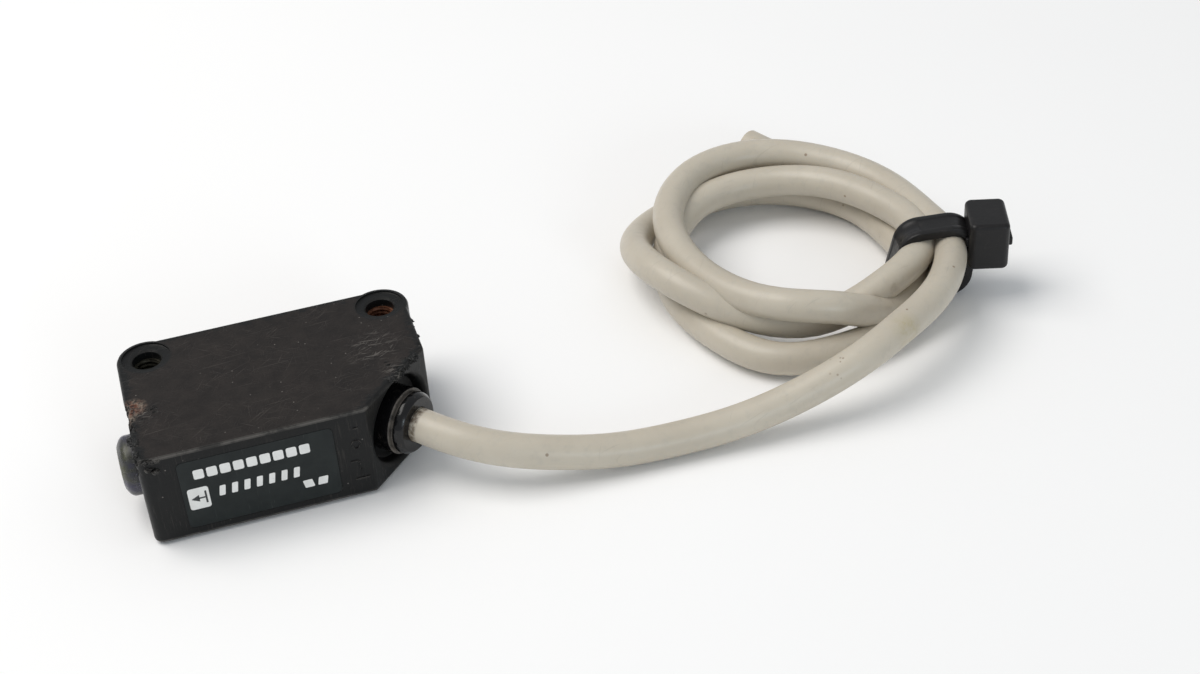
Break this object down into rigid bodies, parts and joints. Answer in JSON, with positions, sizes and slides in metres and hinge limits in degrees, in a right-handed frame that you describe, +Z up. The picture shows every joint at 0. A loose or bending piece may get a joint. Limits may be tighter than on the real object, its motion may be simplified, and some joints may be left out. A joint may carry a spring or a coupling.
{
  "type": "photoelectric sensor",
  "caption": "Flat moulded emitter of a through-beam photoelectric sensor, with threaded mounting holes, an indicator dome, and a cable that leaves a cut corner and ends in a tied coil.",
  "frame": {"origin": "halfway between the two mounting holes, on the broad face that the sensor lies on", "axes": "+X along the case towards the cable's end face, +Y towards the front window, +Z up through the thickness of the case"},
  "size_m": [0.1024, 0.0566, 0.0112],
  "materials": {
    "case": "scuffed satin black",
    "front_window": "smoked red, clear",
    "window_gasket": "matt",
    "collimating_lens": "clear moulded plastic",
    "lens_barrel": "matt black",
    "aperture_plate": "satin",
    "emitter_led": "clear epoxy",
    "led_board": "solder resist",
    "board_link_pins": "tinned",
    "main_board": "solder resist",
    "driver_ic": "matt",
    "chip_resistors": "satin",
    "chip_capacitors": "ceramic",
    "tantalum_capacitor": "satin",
    "polarity_diode": "satin",
    "indicator_led": "epoxy",
    "light_guide": "clear moulded plastic",
    "indicator_cover": "smoked, glossy",
    "thread_inserts": "rusty",
    "cable_gland": "glossy black",
    "cable_clamp": "plated",
    "cable_tail": "soft, worn",
    "brown_core": "satin",
    "blue_core": "satin",
    "solder_joints": "solder",
    "name_label": "satin foil",
    "cable_lead": "soft, worn",
    "cable_coil": "soft, worn",
    "cable_tie": "satin black"
  },
  "bodies": {
    "root": {"case": "case", "front_window": "front_window", "window_gasket": "window_gasket", "collimating_lens": "collimating_lens", "lens_barrel": "lens_barrel", "aperture_plate": "aperture_plate", "emitter_led": "emitter_led", "led_board": "led_board", "board_link_pins": "board_link_pins", "main_board": "main_board", "driver_ic": "driver_ic", "chip_resistors": "chip_resistors", "chip_capacitors": "chip_capacitors", "tantalum_capacitor": "tantalum_capacitor", "polarity_diode": "polarity_diode", "indicator_led": "indicator_led", "light_guide": "light_guide", "indicator_cover": "indicator_cover", "thread_inserts": "thread_inserts", "cable_gland": "cable_gland", "cable_clamp": "cable_clamp", "cable_tail": "cable_tail", "brown_core": "brown_core", "blue_core": "blue_core", "solder_joints": "solder_joints", "name_label": "name_label", "cable_lead": "cable_lead", "cable_coil": "cable_coil", "cable_tie": "cable_tie"}
  },
  "joints": []
}
